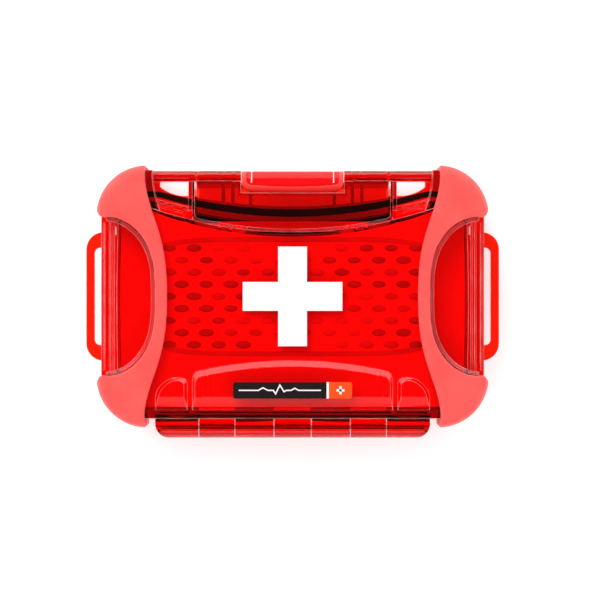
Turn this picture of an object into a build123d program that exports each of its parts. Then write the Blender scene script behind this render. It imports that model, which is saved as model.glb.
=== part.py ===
"""Translucent hard-shell first aid kit: a lid and a base hinged at the back, with a front latch.

Frame: X across the case, +Y towards the hinge, -Y towards the latch, +Z up through the lid.
The origin is on the floor, under the middle of the whole kit's outline from above.
The parts are drawn about the middle of the lid's panel, and shifted to that origin at the end.
Each half is drawn "lid fashion", with its parting face at z = 0 and its outside towards +z.
Then it is placed: the lid is lifted to the parting plane, and the base is mirrored below it.
All sizes are millimetres.
"""
from build123d import *

import os

# ---------------------------------------------------------------- driving dimensions
SPLIT_Z = 27.0            # height of the parting plane above the floor
LID_HEIGHT = 20.0         # parting plane to the top of the lid bumpers
BASE_HEIGHT = SPLIT_Z     # parting plane to the floor under the base bumpers
HALF_GAP = 0.1            # the lid's parting face stands this far above the base's
SNUG = 0.015              # radial air of a bore that holds its pin
RUNNING = 0.05            # radial air of a bore that turns on its pin

OUTER_X, OUTER_Y = 84.5, 56.5       # half width and half depth over the bumpers
OUTER_CORNER = 22.0                 # plan radius of a bumper corner
BUMPER_CROWN = 5.0                  # rounding from a bumper's top to its side

FLANGE_X = 83.0           # half width of the rim flange
FLANGE_FRONT = 54.3       # flange edge on the latch side, as a distance from the origin
FLANGE_BACK = 52.5        # flange edge on the hinge side
FLANGE_CORNER = 20.0
FLANGE_T = 3.0
WALL = 2.3
PANEL_DROP = 2.5          # the shell's panel lies this far under the bumper tops
BLOCK_DROP = 1.0          # the raised front and rear blocks lie this far under them

# outlines from above: x at the middle and ends of the sides, y at the middle and ends of
# the front and back. The front bows in, to leave room for the latch.
CAVITY = dict(x=(70.9, 69.9), front=(31.8, 44.8), back=(44.3, 44.3), corner=9.0)
CAVITY_LOW = dict(x=(75.0, 73.8), front=(31.9, 46.2), back=(49.2, 49.2), corner=10.2)
CAVITY_TOP = dict(x=(73.2, 72.0), front=(25.6, 41.3), back=(47.4, 47.4), corner=9.0)
UNDERCUT_Z = 3.2          # above this the cavity is wider, so that it holds the rubber liner
OUTSIDE = dict(x=(76.2, 75.0), front=(34.1, 47.3), back=(52.5, 52.5), corner=12.0)
PANEL = dict(x=(75.6, 74.4), front=(27.9, 43.0), back=(52.5, 52.5), corner=11.0)
SHELF_SHARE = 0.45        # height of the side windows' floor, as a share of a half's height

# plan curves that bound a bumper, as points from its end to the middle of the side
WINDOW_EDGE = [(78.0, 34.1), (67.6, 29.3), (61.2, 19.5), (59.0, 0.0)]
PANEL_EDGE = [(62.8, 58.0), (62.5, 44.0), (58.3, 31.0), (55.0, 18.0), (53.8, 0.0)]
BUMPER_END = [(82.8, 34.2), (85.2, 38.0)]   # clipped corner where a bumper meets the flange
CHEEK = dict(t=3.2, start=33.0, drop=3.0)   # shell wall along the panel side of a bumper
BEAD = dict(t=1.7, tip=0.5, slope=0.7, drop=1.2)   # shell wall along a bumper's window side

BLOCK_X = 43.0            # half width of the raised centre blocks
BLOCK_ARC = (27.6, 32.6)  # inner edge of a centre block: at the middle, and at BLOCK_X
BLOCK_SIDE = 1.0          # bevel on the sides of a block
FRONT_BEVEL, REAR_BEVEL = 1.2, 2.4
FRONT_CORNER, REAR_CORNER = 2.6, 4.2
END_BLOCK = dict(x0=45.2, x1=58.9, top=34.8, peak=48.8, mid=(56.4, 38.0), side=44.0, corner=2.6)
END_BEVEL = 1.4
# how the back rolls over to the rear face: a slight slope, then a round
ROLL = dict(y0=43.2, knee=(47.3, 1.25), y1=52.5, drop=4.8)

BEAM_Y = 49.6             # inner edge of the front beam
BEAM_X = 62.3
BEAM_H = 9.0
BEAM_ROUND = 2.2
NOTCH = dict(x=41.7, half=1.1, depth=2.4)   # vee in the beam beside each eyelet ear
SLIT = dict(x0=41.35, x1=42.05, y0=43.2, y1=49.7)
EYELET = dict(x_in=45.1, x_out=57.4, y_out=49.6, y_in=43.6, y_edge=47.4)
EAR_RIB = (43.2, 44.9)    # upright rib between an eyelet and the front block
POCKET_RIBS = [18.0, 25.7, 29.8]
RIB_T = 1.6
POCKET_START = 7.0        # pockets start this far out from the cavity outline
POCKET_ROOF = 2.2
FRONT_WALL = 1.7          # wall left in front of the front pockets
ROOF_GROOVE = dict(x=(36.0, 38.3), w=0.6, y0=33.5, y1=43.0, depth=0.8)

# line that the gasket follows, and its two edges, out from that line
GASKET_LINE = dict(x=(70.3, 69.3), front=(33.0, 46.0), back=(44.3, 44.3), corner=10.0)
GASKET = (1.3, 4.8)
GASKET_DEPTH = 2.2

HINGE_Y = 57.2
KNUCKLE_R = 4.2
KNUCKLE_END = 6.2         # plan rounding of the hinge's two outer ends
PIN_R = 1.25
PIN_HALF = 57.0
KNUCKLE_ROOT = 51.5       # knuckle webs reach back to here
LID_KNUCKLES = [(8.15, 24.95), (40.75, 59.6)]
BASE_KNUCKLES = [(-8.0, 8.0), (25.1, 40.6), (-40.6, -25.1)]

BAY_X = 22.2              # half width of the bay that the latch sits in
BAY_Y = 44.4              # back wall of the bay in the lid
BAY_WALL = 1.2
BASE_BAY_Y = 48.6         # front of the base behind the latch
CATCH = dict(x=16.0, y=50.5, z0=1.6, z1=4.6)
LATCH_X = 22.0            # half width of the latch
LATCH_PIVOT = (-49.0, 4.8)
LATCH_R = 4.2
LATCH_FRONT = 54.2
LATCH_BACK = 51.6         # back face of the hanging tongue
LATCH_TOP_R = 4.0
TONGUE_X = 17.5
ARM_X = 18.0
TONGUE_END = -14.0
ARM_END = -2.5
GRIP_SIDE, GRIP_BACK = 2.0, 2.8
CLAW = dict(y=50.75, z0=-8.6, z1=-5.2)
LATCH_PIN_HALF = 26.0

LOOP = dict(x=89.9, bar=3.7, half=28.0, z0=3.4, z1=7.0, corner=7.5, inner=2.5)
FOOT_SLIT = dict(x0=76.5, x1=76.95, y0=26.8, y1=30.4)
RIDGE = dict(x=(77.2, 78.8, 81.4), w=0.7, h=1.6, half=32.0)    # ridges along the side rims

LINER_T = 1.6
LINER_AIR = 0.15
LINER_GAP = 0.1           # air under the base liner's floor
NUB_H = 0.9               # the lid liner's nubs hold it this far from the panel
LINER_TOP = 1.0           # liners stop this far short of the parting plane

CROSS = dict(span=42.8, arm=12.4, t=0.25)
LABEL = dict(half=25.5, y=40.3, h=7.0, t=0.5, split=-14.6, line=1.0, corner=0.9)

# supplies: they lie on the base liner's floor, with a little air between them
SUPPLY_AIR = 0.1
SUPPLY_Y = 8.8            # middle of the liner's floor, front to back
BANDAGE = dict(x=-41.0, r=12.0, length=54.0, core=1.6)
STRETCH_BANDAGE = dict(x=-16.2, r=10.5, length=50.0, core=1.4)
TAPE = dict(x=15.5, y=SUPPLY_Y + 11.0, r=18.0, core=9.5, spool_t=1.6, width=12.5)
WIPES = dict(x=15.5, y=SUPPLY_Y - 18.6, size_x=34.0, size_y=20.0, t=2.9, count=4)
PLASTERS = dict(x=44.2, y=SUPPLY_Y, size_x=19.0, size_y=56.0, t=2.0, count=5)
PADS = dict(x=20.4, y=SUPPLY_Y, size_x=48.0, size_y=48.0, t=1.6, count=3)
TWEEZERS = dict(x=49.6, length=58.0, blade=1.0, width=6.0, open=7.0, tip=0.5)


# ---------------------------------------------------------------- plan outlines
def bowed_face(x, front, back, corner, grow=0.0):
    """Four-sided outline whose sides bow in or out, with rounded corners."""
    (xm, xe), (fm, fe), (bm, be) = [[v + grow for v in pair] for pair in (x, front, back)]
    middle = (be - fe) / 2
    rear = Line((xe, be), (-xe, be)) if bm == be else ThreePointArc((xe, be), (0, bm), (-xe, be))
    face = closed_face(
        ThreePointArc((xe, -fe), (xm, middle), (xe, be)),
        rear,
        ThreePointArc((-xe, be), (-xm, middle), (-xe, -fe)),
        ThreePointArc((-xe, -fe), (0, -fm), (xe, -fe)),
    )
    return fillet(face.vertices(), corner + grow)


def closed_face(*curves):
    """Face inside a loop of curves given in order."""
    return make_face(Wire([edge for curve in curves for edge in curve.edges()]))


def slab(face, z0, z1):
    return Pos(0, 0, z0) * extrude(face, z1 - z0, dir=(0, 0, 1))


def box(x0, x1, y0, y1, z0, z1):
    middle = Pos((x0 + x1) / 2, (y0 + y1) / 2, (z0 + z1) / 2)
    return middle * Box(abs(x1 - x0), abs(y1 - y0), abs(z1 - z0))


def bar_x(x0, x1, y, z, radius):
    """Round bar along X."""
    return Pos((x0 + x1) / 2, y, z) * Rot(0, 90, 0) * Cylinder(radius, x1 - x0)


def both_sides(shape):
    """List of the shape and its mirror image across the YZ plane."""
    return [shape, mirror(shape, about=Plane.YZ)]


def mirrored_spline(points):
    """Spline through the points, then on through their mirror images below the X axis."""
    return Spline(*points, *[(x, -y) for x, y in reversed(points[:-1])])


def bumper_side(shift=0.0, far=95.0):
    """Everything outside a bumper's panel edge, with the edge moved in by shift."""
    points = [(x - shift, y) for x, y in PANEL_EDGE]
    x0, y0 = points[0]
    return closed_face(
        mirrored_spline(points), Polyline((x0, -y0), (far, -y0), (far, y0), (x0, y0))
    )


def window(shift=0.0):
    """The open side window outside a bumper's window edge, made smaller by shift."""
    (x0, y0), *rest = WINDOW_EDGE
    points = [(x0 + shift / 3, y0 - shift)] + [(x + shift, y - shift * y / 34) for x, y in rest]
    x0, y0 = points[0]
    (x1, y1), (x2, y2) = BUMPER_END
    edge = Polyline(
        (x0, -y0), (x1, shift - y1), (x2, shift - y2), (99, -y2), (99, y2), (x2, y2 - shift),
        (x1, y1 - shift), (x0, y0),
    )
    return closed_face(mirrored_spline(points), edge)


# ---------------------------------------------------------------- half shell
def flange():
    middle = (FLANGE_BACK - FLANGE_FRONT) / 2
    plan = RectangleRounded(2 * FLANGE_X, FLANGE_FRONT + FLANGE_BACK, FLANGE_CORNER)
    return slab(Pos(0, middle) * plan, 0, FLANGE_T)


def shelf_z(height):
    return SHELF_SHARE * height


def body(height):
    """Body from the flange to the panel, still solid, with its side windows cut down."""
    foot = slab(bowed_face(**OUTSIDE), 0, FLANGE_T)
    low = Pos(0, 0, FLANGE_T) * bowed_face(**OUTSIDE)
    high = Pos(0, 0, height - PANEL_DROP) * bowed_face(**PANEL)
    rise = loft([low, high], ruled=True) & roll_over(height, -80, 80, PANEL_DROP - BLOCK_DROP)
    return [foot, rise - both_sides(slab(window(), shelf_z(height), height + 1))]


def hollow(height, inset=0.0, roof=0.0):
    """The space inside a half, made smaller by inset all round and by roof at the top."""
    step_z, top_z = UNDERCUT_Z + inset, height - PANEL_DROP - WALL - roof
    mouth = slab(bowed_face(**CAVITY, grow=-inset), -1, step_z)
    low = Pos(0, 0, step_z) * bowed_face(**CAVITY_LOW, grow=-inset)
    high = Pos(0, 0, top_z) * bowed_face(**CAVITY_TOP, grow=-inset)
    under_window = slab(window(-WALL - inset), shelf_z(height) - WALL - roof, height)
    return mouth + (loft([low, high], ruled=True) - both_sides(under_window))


def raised_block(plan, plan_top, height):
    """Block that stands on the panel, with bevelled sides."""
    panel_z, top_z = height - PANEL_DROP, height - BLOCK_DROP
    upper = loft([Pos(0, 0, panel_z) * plan, Pos(0, 0, top_z) * plan_top], ruled=True)
    return upper + slab(plan, panel_z - WALL / 2, panel_z)


def centre_plan(outer_y, inset_arc, inset_side, corner):
    mid, end = [y + inset_arc for y in BLOCK_ARC]
    x = BLOCK_X - inset_side
    face = closed_face(
        ThreePointArc((x, end), (0, mid), (-x, end)),
        Polyline((-x, end), (-x, outer_y), (x, outer_y), (x, end)),
    )
    return fillet(face.vertices().sort_by(Axis.Y)[:2], corner)


def centre_block(height, outer_y, bevel, corner):
    """Raised block from a bowed edge near the panel's middle out to outer_y, towards +y."""
    return raised_block(
        centre_plan(outer_y, 0, 0, corner),
        centre_plan(outer_y, bevel, BLOCK_SIDE, corner - 0.6), height,
    )


def end_plan(inset):
    """Plan of a rear end block: straight beside the groove, arched along the bumper."""
    e = END_BLOCK
    x0, x1, top = e["x0"] + inset, e["x1"] - inset, e["top"] + inset
    mx, my = e["mid"]
    arch = Spline((x0, top + 1.2), (e["peak"], top), (mx - inset * 0.7, my + inset * 0.7),
                  (x1, e["side"] + inset))
    y1 = ROLL["y1"] + 1
    face = closed_face(arch, Polyline((x1, e["side"] + inset), (x1, y1), (x0, y1), (x0, top + 1.2)))
    corner = face.vertices().sort_by(Axis.X)[:2].sort_by(Axis.Y)[0]
    return fillet(corner, e["corner"] - inset / 2)


def roll_over(height, x0, x1, drop=0.0):
    """Side profile that the back is cut to: flat on top, then rounded down to the rear face."""
    top = height - BLOCK_DROP - drop
    y0, y1, fall = ROLL["y0"], ROLL["y1"], ROLL["drop"]
    knee_y, knee_fall = ROLL["knee"]
    on_arc = (knee_y + 0.68 * (y1 - knee_y), top - knee_fall - 0.36 * (fall - knee_fall))
    arc = ThreePointArc((knee_y, top - knee_fall), on_arc, (y1, top - fall))
    rest = Polyline((y1, top - fall), (y1, 0), (-60, 0), (-60, top), (y0, top),
                    (knee_y, top - knee_fall))
    profile = closed_face(arc, rest)
    return Pos(x0, 0, 0) * extrude(Plane.YZ * profile, x1 - x0, dir=(1, 0, 0))


def rear_blocks(height):
    centre = centre_block(height, ROLL["y1"] + 1, REAR_BEVEL, REAR_CORNER) & roll_over(
        height, -BLOCK_X, BLOCK_X
    )
    end = raised_block(end_plan(0), end_plan(END_BEVEL), height) & roll_over(
        height, END_BLOCK["x0"], END_BLOCK["x1"]
    )
    return [centre] + both_sides(end)


def front_block(height):
    """Raised block over the latch side, closed at its front and sides down to the flange."""
    block = mirror(centre_block(height, BEAM_Y, FRONT_BEVEL, FRONT_CORNER), about=Plane.XZ)
    skirt = box(-BLOCK_X, BLOCK_X, -BEAM_Y, -OUTSIDE["front"][0] + 2, 0, height - PANEL_DROP)
    return block + skirt


def front_beam():
    """Beam along the front rim, with a vee notch beside each eyelet."""
    beam = box(-BEAM_X, BEAM_X, -FLANGE_FRONT, -BEAM_Y, 0, BEAM_H)
    beam = fillet(beam.edges().filter_by(Axis.X).group_by(Axis.Z)[-1], BEAM_ROUND)
    tip = -FLANGE_FRONT + NOTCH["depth"]
    vee = Polyline(
        (NOTCH["x"] - NOTCH["half"], -FLANGE_FRONT - 0.1), (NOTCH["x"], tip),
        (NOTCH["x"] + NOTCH["half"], -FLANGE_FRONT - 0.1), close=True,
    )
    return beam - both_sides(slab(make_face(vee), -1, BEAM_H + 1))


def cheek(height):
    """Shell wall that backs the panel side of a bumper near the corners."""
    strip = bumper_side(CHEEK["t"]) - bumper_side()
    wall = slab(strip, 0, height - CHEEK["drop"])
    front = box(50, 70, -FLANGE_FRONT, -CHEEK["start"], 0, height)
    back = box(50, 70, CHEEK["start"], FLANGE_BACK, 0, height)
    return [wall & front, wall & back]


def bead(height):
    """Upstand of the shell along the window side of a bumper, sloped towards the window."""
    top, foot = height - BEAD["drop"], shelf_z(height) - WALL
    edge = top - BEAD["slope"]
    slope = loft([Pos(0, 0, edge) * window(BEAD["t"]), Pos(0, 0, top) * window(BEAD["tip"])],
                 ruled=True)
    wall = slab(window(), foot, top) - [slab(window(BEAD["t"]), foot, edge), slope]
    rim_x = OUTSIDE["x"][0] - 2
    inner = wall & box(50, rim_x, -50, 50, 0, height)
    outer = wall & box(rim_x, FLANGE_X - 3, -50, 50, 0, height)
    post = slab(window() - window(BEAD["t"]), 0, foot) & box(
        rim_x, FLANGE_X - 3, -50, 50, 0, height
    )
    return inner + [outer, post]


def ear_rib():
    x0, x1 = EAR_RIB
    return box(x0, x1, -BEAM_Y, -OUTSIDE["front"][0] - 3, 0, BEAM_H + 4)


def rim_ridges():
    """Fine ridges along the side rims."""
    half, z = RIDGE["half"], FLANGE_T - 0.2
    return [box(x, x + RIDGE["w"], -half, half, z, FLANGE_T + RIDGE["h"]) for x in RIDGE["x"]]


def outer_shell(height):
    """One half without its hollow, pockets or holes."""
    right = cheek(height) + [bead(height), ear_rib()] + rim_ridges()
    parts = body(height) + [flange(), front_block(height), front_beam()]
    parts += rear_blocks(height)
    for piece in right:
        parts += both_sides(piece)
    return parts[0] + parts[1:]


def pockets(height, y_end):
    """Core pockets behind the front rim, open at the parting face and split by ribs."""
    start = slab(bowed_face(**CAVITY, grow=POCKET_START), -2, height)
    roof = height - BLOCK_DROP - POCKET_ROOF
    ribs = sorted([-x for x in POCKET_RIBS] + POCKET_RIBS)
    edges = [-BLOCK_X + RIB_T / 2] + ribs + [BLOCK_X - RIB_T / 2]
    return [
        box(left + RIB_T / 2, right - RIB_T / 2, -y_end, -30, -1, roof) - start
        for left, right in zip(edges, edges[1:])
    ]


def eyelet():
    e = EYELET
    lower = ThreePointArc((e["x_out"], -e["y_edge"]), (52.0, -e["y_in"] - 0.9),
                          (e["x_in"], -e["y_in"]))
    rest = Polyline((e["x_in"], -e["y_in"]), (e["x_in"], -e["y_out"]),
                    (e["x_out"], -e["y_out"]), (e["x_out"], -e["y_edge"]))
    return slab(closed_face(lower, rest), -1, 40)


def common_cuts(height):
    """Hollow, eyelets and slits that both halves have."""
    slit = box(SLIT["x0"], SLIT["x1"], -SLIT["y1"], -SLIT["y0"], -1, height + 1)
    foot = box(FOOT_SLIT["x0"], FOOT_SLIT["x1"], -FOOT_SLIT["y1"], -FOOT_SLIT["y0"], -1, 9)
    cuts = [hollow(height)]
    for piece in [eyelet(), slit, foot] + roof_grooves(height):
        cuts += both_sides(piece)
    return cuts


def roof_grooves(height):
    """Shallow grooves in the roof under the rear block."""
    g = ROOF_GROOVE
    z = height - PANEL_DROP - WALL
    return [box(x, x + g["w"], g["y0"], g["y1"], z - 1, z + g["depth"]) for x in g["x"]]


# ---------------------------------------------------------------- hinge
def knuckle(x0, x1, z_axis):
    """Hinge knuckle with the web that joins it to a half's back face."""
    barrel = bar_x(x0, x1, HINGE_Y, z_axis, KNUCKLE_R)
    web = box(x0, x1, KNUCKLE_ROOT, HINGE_Y, 0, KNUCKLE_R + z_axis)
    return barrel + web


def end_knuckle(x0, x1, z_axis):
    """Outermost knuckle, with its free corner rounded in plan."""
    plan = Pos((x0 + x1) / 2, HINGE_Y - 5) * Rectangle(x1 - x0, 2 * (KNUCKLE_R + 5))
    corner = plan.vertices().sort_by(Axis.X)[-2:].sort_by(Axis.Y)[-1]
    return knuckle(x0, x1, z_axis) & slab(fillet(corner, KNUCKLE_END), -10, 10)


def hinge_pin():
    return bar_x(-PIN_HALF, PIN_HALF, HINGE_Y, SPLIT_Z, PIN_R)


# ---------------------------------------------------------------- lid
def lid_shell():
    h = LID_HEIGHT
    inner, outer = LID_KNUCKLES
    knuckles = both_sides(knuckle(*inner, -HALF_GAP)) + both_sides(end_knuckle(*outer, -HALF_GAP))
    shell = outer_shell(h) + knuckles
    groove = slab(
        bowed_face(**GASKET_LINE, grow=GASKET[1]) - bowed_face(**GASKET_LINE, grow=GASKET[0]),
        -1, GASKET_DEPTH,
    )
    bay = box(-BAY_X, BAY_X, -60, -BAY_Y, -1, h)
    front = pockets(h, BEAM_Y - FRONT_WALL)
    keep_wall = box(-BAY_X - BAY_WALL, BAY_X + BAY_WALL, -60, -BAY_Y + BAY_WALL, -2, h)
    front = [core - keep_wall for core in front]
    bores = [
        bar_x(-62, 62, HINGE_Y, -HALF_GAP, PIN_R + RUNNING),
        bar_x(-LATCH_PIN_HALF - 0.2, LATCH_PIN_HALF + 0.2, *LATCH_PIVOT, PIN_R + SNUG),
    ]
    shell = shell - (common_cuts(h) + [groove, bay] + front + bores)
    return Pos(0, 0, SPLIT_Z + HALF_GAP) * shell


def gasket():
    ring = bowed_face(**GASKET_LINE, grow=GASKET[1] - 0.05) - bowed_face(
        **GASKET_LINE, grow=GASKET[0] + 0.05
    )
    return Pos(0, 0, SPLIT_Z + HALF_GAP) * slab(ring, 0, GASKET_DEPTH)


def place_base(shape):
    return Pos(0, 0, SPLIT_Z) * mirror(shape, about=Plane.XY)


def base_shell():
    h = BASE_HEIGHT
    knuckles = [knuckle(x0, x1, 0) for x0, x1 in BASE_KNUCKLES]
    catch = box(-CATCH["x"], CATCH["x"], -CATCH["y"], -BASE_BAY_Y + 1, CATCH["z0"], CATCH["z1"])
    catch = fillet(catch.edges().filter_by(Axis.X).group_by(Axis.Y)[0], 0.9)
    shell = outer_shell(h) + knuckles + both_sides(strap_loop())
    bay = box(-BAY_X, BAY_X, -60, -BASE_BAY_Y, -1, h + 1)
    front = pockets(h, BASE_BAY_Y - FRONT_WALL)
    bore = bar_x(-62, 62, HINGE_Y, 0, PIN_R + SNUG)
    shell = shell - (common_cuts(h) + [bay, bore] + front) + catch
    return place_base(shell)


def strap_loop():
    """Flat bar bent into a bracket, standing out from the side of the base's flange."""
    x1, half = LOOP["x"], LOOP["half"]
    x0 = FLANGE_X - 6
    outer = Pos((x0 + x1) / 2, 0) * Rectangle(x1 - x0, 2 * half)
    outer = fillet(outer.vertices().group_by(Axis.X)[-1], LOOP["corner"])
    xi = x1 - LOOP["bar"]
    hole = Pos((x0 + xi) / 2 - 1, 0) * Rectangle(xi - x0 + 2, 2 * (half - 6.8))
    hole = fillet(hole.vertices().group_by(Axis.X)[-1], LOOP["inner"])
    bar = slab(outer - hole, LOOP["z0"], LOOP["z1"])
    root = box(FLANGE_X - 7, FLANGE_X, -half, half, FLANGE_T - 0.5, LOOP["z1"])
    window_gap = box(FLANGE_X - 8, FLANGE_X - 2.5, -half - 1, half + 1, FLANGE_T, LOOP["z1"] + 1)
    return bar + root - window_gap


# ---------------------------------------------------------------- bumpers
def bumper(height, shell_outside):
    """Soft corner bumper of one side: two corners joined by a narrow bowed band."""
    plan = RectangleRounded(2 * OUTER_X, 2 * OUTER_Y, OUTER_CORNER)
    skin = slab(plan, 0, height)
    skin = fillet(skin.faces().sort_by(Axis.Z)[-1].edges(), BUMPER_CROWN)
    keep = slab(bumper_side(), -1, height + 1)
    return (skin & keep) - [slab(window(), -1, height + 1), shell_outside]


def bumpers(height):
    """Right and left bumper of a half, cut to sit on the outside of its shell."""
    right = bumper(height, outer_shell(height))
    return right, mirror(right, about=Plane.YZ)


# ---------------------------------------------------------------- liners
def liner(height, roof):
    outer = hollow(height, LINER_AIR, roof)
    inner = hollow(height, LINER_AIR + LINER_T, roof + LINER_T)
    trim = box(-90, 90, -60, 60, -5, LINER_TOP)
    return outer - [inner, trim]


# ---------------------------------------------------------------- latch
def latch_profile():
    """Side profile of the latch: a round heel on the pivot and a tongue hanging in front."""
    y, z = LATCH_PIVOT
    heel = Pos(y, z) * Circle(LATCH_R)
    head = Pos((y - LATCH_FRONT) / 2, z + LATCH_R / 2) * Rectangle(LATCH_FRONT + y, LATCH_R)
    head = fillet(head.vertices().sort_by(Axis.X)[:2].sort_by(Axis.Y)[-1], LATCH_TOP_R)
    depth = LATCH_FRONT - LATCH_BACK
    tongue = Pos(-LATCH_FRONT + depth / 2, (z + TONGUE_END) / 2) * RectangleRounded(
        depth, z - TONGUE_END, 0.9
    )
    return heel + head + tongue


def latch_plan(inset_side=0.0, inset_back=0.0):
    """Plan of the latch: straight sides, rounded back corners and a slightly bowed back."""
    x, back = LATCH_X - inset_side, -44.75 - inset_back
    bow = ThreePointArc((x, back - 1.0), (0, back), (-x, back - 1.0))
    rest = Polyline((-x, back - 1.0), (-x, -60), (x, -60), (x, back - 1.0))
    face = closed_face(bow, rest)
    corners = face.vertices().sort_by(Axis.Y)[-2:]
    return fillet(corners, max(3.6 - inset_side, 1.2))


def latch_body():
    """Whole outline of the latch, before it is split into the hard lever and its soft grip."""
    side = Pos(-LATCH_X, 0, 0) * extrude(Plane.YZ * latch_profile(), 2 * LATCH_X)
    full = side & slab(latch_plan(), -30, 30)
    below = [box(ARM_X - 0.01, 30, -60, -40, -30, ARM_END),
             box(-30, -ARM_X + 0.01, -60, -40, -30, ARM_END)]
    slots = both_sides(box(TONGUE_X, ARM_X, -60, -49.0, -30, 30))
    bore = bar_x(-30, 30, *LATCH_PIVOT, PIN_R + RUNNING)
    return full - (below + slots + [bore])


def latch_parts():
    """The hard lever with its claw, and the soft grip moulded round its head."""
    whole = latch_body()
    inside = slab(latch_plan(GRIP_SIDE, GRIP_BACK), -30, 30)
    core = slab(latch_plan(GRIP_SIDE, 0.9), -30, LATCH_PIVOT[1] + 0.8)
    lever = whole & (inside + core)
    grip = whole - lever
    claw = Polyline(
        (-LATCH_BACK - 0.5, CLAW["z0"] - 0.8), (-CLAW["y"], CLAW["z0"] + 0.6),
        (-CLAW["y"], CLAW["z1"]), (-LATCH_BACK - 0.5, CLAW["z1"] + 0.2), close=True,
    )
    hook = Pos(-15, 0, 0) * extrude(Plane.YZ * make_face(claw), 30)
    up = Pos(0, 0, SPLIT_Z + HALF_GAP)
    return up * (lever + hook), up * grip


def latch_pin():
    y, z = LATCH_PIVOT
    return bar_x(-LATCH_PIN_HALF, LATCH_PIN_HALF, y, z + SPLIT_Z + HALF_GAP, PIN_R)


# ---------------------------------------------------------------- cross and label
def on_lid(face, top_z, thickness):
    """Flat piece stuck on the lid, on a face that is top_z above the parting plane."""
    z = SPLIT_Z + HALF_GAP + top_z
    return slab(face, z, z + thickness)


def cross_decal():
    plan = Rectangle(CROSS["span"], CROSS["arm"]) + Rectangle(CROSS["arm"], CROSS["span"])
    return on_lid(plan, LID_HEIGHT - PANEL_DROP, CROSS["t"])


def label_strip(x0, x1):
    """Part of the label between two places along it, inside its rounded outline."""
    outline = Pos(0, LABEL["y"]) * RectangleRounded(
        2 * LABEL["half"], LABEL["h"], LABEL["corner"]
    )
    part = Pos((x0 + x1) / 2, LABEL["y"]) * Rectangle(x1 - x0, LABEL["h"] + 1)
    return on_lid(outline & part, LID_HEIGHT - BLOCK_DROP, LABEL["t"])


def label_parts():
    """Dark field, pale divider and coloured end of the label, side by side."""
    split, line, half = LABEL["split"], LABEL["line"], LABEL["half"]
    return {
        "label_plate": label_strip(split, half),
        "label_divider": label_strip(split - line, split),
        "label_end": label_strip(-half, split - line),
    }


# ---------------------------------------------------------------- supplies in the base
FLOOR_Z = PANEL_DROP + WALL + LINER_GAP + LINER_T + SUPPLY_AIR


def rolled(size):
    """Rolled bandage lying along Y, with the small open core that a roll has."""
    roll = Cylinder(size["r"], size["length"]) - Cylinder(size["core"], size["length"] + 2)
    return Pos(size["x"], SUPPLY_Y, FLOOR_Z + size["r"]) * Rot(90, 0, 0) * roll


def tape_parts():
    """Roll of tape lying flat, and the spool that it is wound on."""
    place = Pos(TAPE["x"], TAPE["y"], FLOOR_Z + TAPE["width"] / 2)
    core, width = TAPE["core"], TAPE["width"]
    roll = Cylinder(TAPE["r"], width) - Cylinder(core, width + 2)
    spool = Cylinder(core, width) - Cylinder(core - TAPE["spool_t"], width + 2)
    return place * roll, place * spool


def pile(size, base_z=FLOOR_Z):
    """Flat packets lying on each other, as separate solids."""
    plan = Pos(size["x"], size["y"]) * RectangleRounded(size["size_x"], size["size_y"], 1.5)
    step = size["t"] + SUPPLY_AIR
    levels = [base_z + index * step for index in range(size["count"])]
    return Compound([slab(plan, z, z + size["t"]).solid() for z in levels])


def pile_height(size):
    return size["count"] * (size["t"] + SUPPLY_AIR)


def tweezers():
    """Two sprung blades joined at the back, lying on the plasters along Y."""
    t = TWEEZERS
    end, mid = t["length"] / 2, t["open"] / 2
    outline = [(0.0, -end), (mid, -end * 0.25), (mid * 0.8, end * 0.2), (t["tip"], end)]
    inner = Spline(*[(x + 0.01, y) for x, y in outline])
    outer = Spline(*[(x + t["blade"], y) for x, y in outline])
    blade = closed_face(inner, Line(inner @ 1, outer @ 1), outer, Line(outer @ 0, inner @ 0))
    heel = Pos(0, -end + 2) * Rectangle(2 * t["blade"], 4)
    plan = blade + mirror(blade, about=Plane.YZ) + heel
    z = FLOOR_Z + pile_height(PLASTERS)
    return Pos(t["x"], SUPPLY_Y, 0) * slab(plan, z, z + t["width"])


# ---------------------------------------------------------------- the whole kit
def kit():
    """Every node of the kit by name, drawn about the middle of the lid's panel."""
    up = Pos(0, 0, SPLIT_Z + HALF_GAP)
    lid_right, lid_left = bumpers(LID_HEIGHT)
    base_right, base_left = bumpers(BASE_HEIGHT)
    lever, grip = latch_parts()
    tape, spool = tape_parts()
    nodes = {
        "lid_shell": lid_shell(),
        "lid_bumper_right": up * lid_right,
        "lid_bumper_left": up * lid_left,
        "lid_liner": up * liner(LID_HEIGHT, NUB_H),
        "gasket": gasket(),
        "cross_decal": cross_decal(),
        "base_shell": base_shell(),
        "base_bumper_right": place_base(base_right),
        "base_bumper_left": place_base(base_left),
        "base_liner": place_base(liner(BASE_HEIGHT, LINER_GAP)),
        "hinge_pin": hinge_pin(),
        "latch_lever": lever,
        "latch_grip": grip,
        "latch_pin": latch_pin(),
        "bandage_roll": rolled(BANDAGE),
        "stretch_bandage": rolled(STRETCH_BANDAGE),
        "tape_roll": tape,
        "tape_spool": spool,
        "wipe_sachets": pile(WIPES),
        "plaster_packets": pile(PLASTERS),
        "gauze_pads": pile(PADS, FLOOR_Z + TAPE["width"] + SUPPLY_AIR),
        "tweezers": tweezers(),
    }
    return nodes | label_parts()


ORIGIN_Y = (HINGE_Y + KNUCKLE_R - OUTER_Y) / 2     # middle of the outline, front to back
os.makedirs("parts", exist_ok=True)
for name, shape in kit().items():
    export_step(Pos(0, -ORIGIN_Y, 0) * shape, f"parts/{name}.step")
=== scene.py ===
"""Looks for the hard-case first aid kit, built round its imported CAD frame.

Lengths are metres; MM turns millimetres into metres. Every place comes from the CAD nodes'
boxes.
"""
import math
import random

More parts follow.
